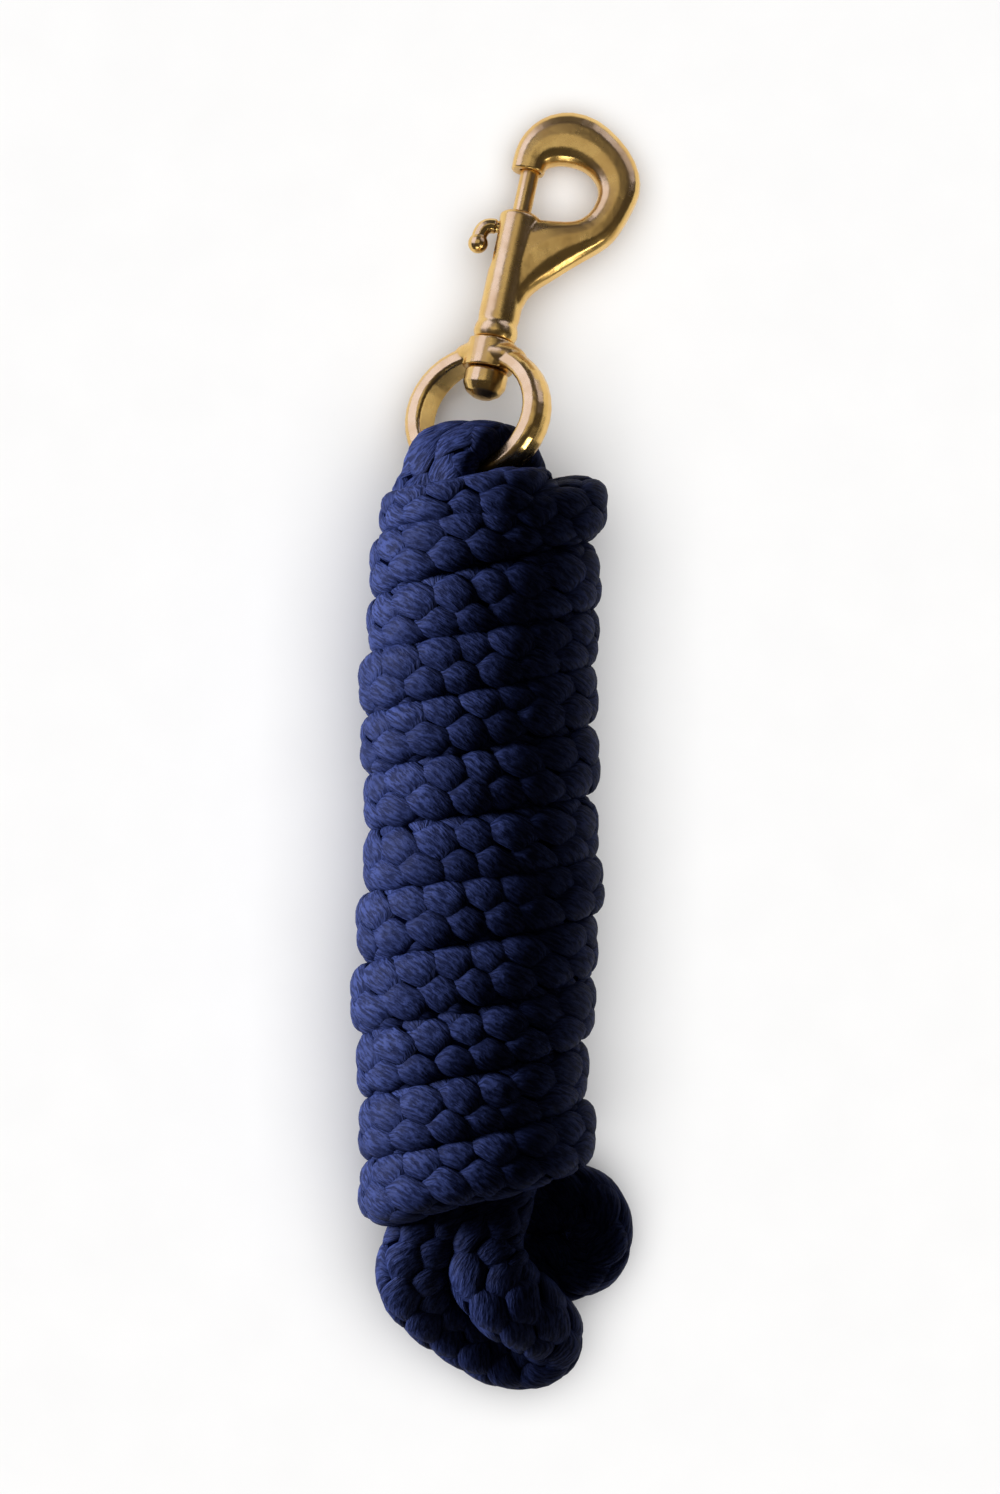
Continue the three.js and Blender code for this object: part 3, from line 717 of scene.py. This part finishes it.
def eye_whipping():
    """Twine round both strands of the eye's neck."""
    points = []
    for i in range(WHIP_TURNS * NECK_TWINE_STEPS + 1):
        angle = 2 * math.pi * i / NECK_TWINE_STEPS
        c = rounded_square(math.cos(angle), NECK_TWINE_SQUARENESS)
        s = rounded_square(math.sin(angle), NECK_TWINE_SQUARENESS)
        x = (FRONT_NECK_X + BACK_NECK_X) / 2 + NECK_TWINE_HALF_WIDTH * c
        y = NECK_TWINE_START + WHIP_PITCH * i / NECK_TWINE_STEPS
        points.append((x, y, CORE_HEIGHT + NECK_TWINE_HALF_HEIGHT * s))
    return wire("eye_twine", points, WHIP_RADIUS, twine_fibre)


def tail_whipping():
    """Twine round the rope's end."""
    centre_x, centre_y, centre_z = TAIL_TWINE_CENTRE
    points = []
    for i in range(WHIP_TURNS * TAIL_TWINE_STEPS + 1):
        angle = 2 * math.pi * i / TAIL_TWINE_STEPS
        x = centre_x - WHIP_PITCH * i / TAIL_TWINE_STEPS
        y = centre_y + TAIL_TWINE_RADIUS * math.cos(angle)
        points.append((x, y, centre_z + TAIL_TWINE_RADIUS * math.sin(angle)))
    return wire("tail_twine", points, WHIP_RADIUS, twine_fibre)


soft_pieces = [rope, eye]
for piece, node in ((eye_whipping(), "eye_whipping"), (tail_whipping(), "tail_whipping")):
    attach(piece, "rope")
    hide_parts(node)
    soft_pieces.append(piece)

SPRING_TURNS = 8
SPRING_FROM, SPRING_TO = 37.1, 59.4  # up the snap's long axis, from the ring's centre
SPRING_RADIUS = 2.7
SPRING_WIRE_RADIUS = 0.45
SPRING_STEPS = 24  # to a turn


def bolt_spring():
    """The coil spring in the barrel, below the bolt's piston."""
    steps = SPRING_TURNS * SPRING_STEPS
    points = []
    for i in range(steps + 1):
        angle = 2 * math.pi * i / SPRING_STEPS
        height = SPRING_FROM + (SPRING_TO - SPRING_FROM) * i / steps
        points.append(in_snap(SPRING_RADIUS * math.cos(angle), height, SPRING_RADIUS * math.sin(angle)))
    return wire("spring_wire", points, SPRING_WIRE_RADIUS, spring_steel)


spring = bolt_spring()
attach(spring, "snap")
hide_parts("bolt_spring")
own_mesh(spring)

# ------------------------------------------------------------------ the brass


VOXEL = 0.35
SMALL_VOXEL = 0.2  # for the thin parts
SMOOTHING = 0.6


def casting(node, name, body, voxel=VOXEL, rounds=6):
    """The CAD node's shape with the soft edges and fillets of a tumbled casting."""
    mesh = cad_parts[node].data.copy()
    made = new_object(name, mesh, brass)
    grid = made.modifiers.new("grid", "REMESH")
    grid.mode = "VOXEL"
    grid.voxel_size = voxel * MM
    soften = made.modifiers.new("soften", "SMOOTH")
    soften.factor = SMOOTHING
    soften.iterations = rounds
    view = bpy.context.evaluated_depsgraph_get()
    final = bpy.data.meshes.new_from_object(made.evaluated_get(view), depsgraph=view)
    made.modifiers.clear()
    made.data = final
    for polygon in final.polygons:
        polygon.use_smooth = True
    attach(made, body)
    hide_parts(node)
    return made


metal_pieces = [
    spring,
    casting("swivel_ring", "ring_casting", "ring"),
    casting("swivel_rivet", "rivet", "snap"),
    casting("snap_body", "snap_casting", "snap", rounds=12),
    casting("snap_bolt", "bolt", "bolt", voxel=SMALL_VOXEL, rounds=3),
    casting("thumb_stud", "stud", "bolt", voxel=SMALL_VOXEL, rounds=4),
]

# ------------------------------------------------------------------ floor and light


FLOOR_REACH = 8000
FLOOR_DROP = 0.1  # keeps the floor's face apart from the part's underside


def make_floor():
    """A plain pale floor that reaches the horizon in a low view."""
    r = FLOOR_REACH
    mesh = mesh_of("floor", [(-r, -r, 0), (r, -r, 0), (r, r, 0), (-r, r, 0)], [[[0, 1, 2, 3]]])
    material, tree, shader = node_material("pale_floor")
    place = add_node(tree, "ShaderNodeTexCoord").outputs["Object"]
    grain = even_noise(tree, place, Scale=40.0, Detail=4.0)
    colour = mix_colour(tree, grain, (0.84, 0.84, 0.84, 1), (0.88, 0.88, 0.88, 1))
    tree.links.new(colour, shader.inputs["Base Color"])
    shader.inputs["Roughness"].default_value = 0.8
    floor = new_object("floor", mesh, material, smooth=False)
    floor.location.z = -FLOOR_DROP * MM
    return floor


def area_light(name, place, target, size, power, colour=(1, 1, 1)):
    """A soft light, with its places and sizes in metres."""
    data = bpy.data.lights.new(name, "AREA")
    data.shape = "RECTANGLE"
    data.size, data.size_y = size
    data.energy = power
    data.color = colour
    light = bpy.data.objects.new(name, data)
    light.location = place
    light.rotation_euler = (Vector(target) - Vector(place)).to_track_quat("-Z", "Y").to_euler()
    bpy.context.scene.collection.objects.link(light)
    return light


def light_only(light, pieces):
    """Keeps a light on those pieces, as flags and screens do in a studio."""
    group = bpy.data.collections.new(light.name + "_receivers")
    for piece in pieces:
        group.objects.link(piece)
    light.light_linking.receiver_collection = group


ROPE_MIDDLE = (0, 0.02, 0.03)
SNAP_MIDDLE = (0.01, 0.18, 0.02)

# The brass's own lights: name, place, size, power and colour. The first two are bluish, so that the
# brass's edges mirror them pale.
BRASS_LIGHTS = [
    ("brass_key", (-0.8, 0.75, 0.45), (1.3, 0.85), 10, (0.35, 0.4, 0.95)),
    ("brass_side", (0.7, 0.95, 0.35), (0.8, 0.5), 2.2, (0.37, 0.42, 1.0)),
    ("brass_top", (-0.25, 0.62, 1.25), (1.0, 0.8), 1.6, (1.0, 0.97, 0.92)),
    ("brass_glint", (0.5, -0.35, 0.5), (0.16, 0.16), 0.9, (1.0, 0.97, 0.88)),
    ("brass_low", (-0.1, -0.6, 0.55), (0.2, 0.2), 1.0, (1.0, 0.97, 0.88)),
]
WORLD_COLOUR = (1, 0.87, 0.74, 1)
WORLD_STRENGTH = 0.05


def make_world():
    """A faint warm fill from all round."""
    world = bpy.data.worlds.new("studio")
    world.use_nodes = True
    background = world.node_tree.nodes["Background"]
    background.inputs["Color"].default_value = WORLD_COLOUR
    background.inputs["Strength"].default_value = WORLD_STRENGTH
    bpy.context.scene.world = world


floor = make_floor()
light_only(area_light("rope_key", (-1.25, 0.3, 0.2), ROPE_MIDDLE, (0.9, 0.36), 62), soft_pieces)
for name, place, size, power, colour in BRASS_LIGHTS:
    light_only(area_light(name, place, SNAP_MIDDLE, size, power, colour), metal_pieces)
light_only(area_light("floor_light", (0, 0, 5), (0, 0, 0), (9, 9), 555), [floor])
make_world()
bpy.context.scene.view_settings.view_transform = "Standard"
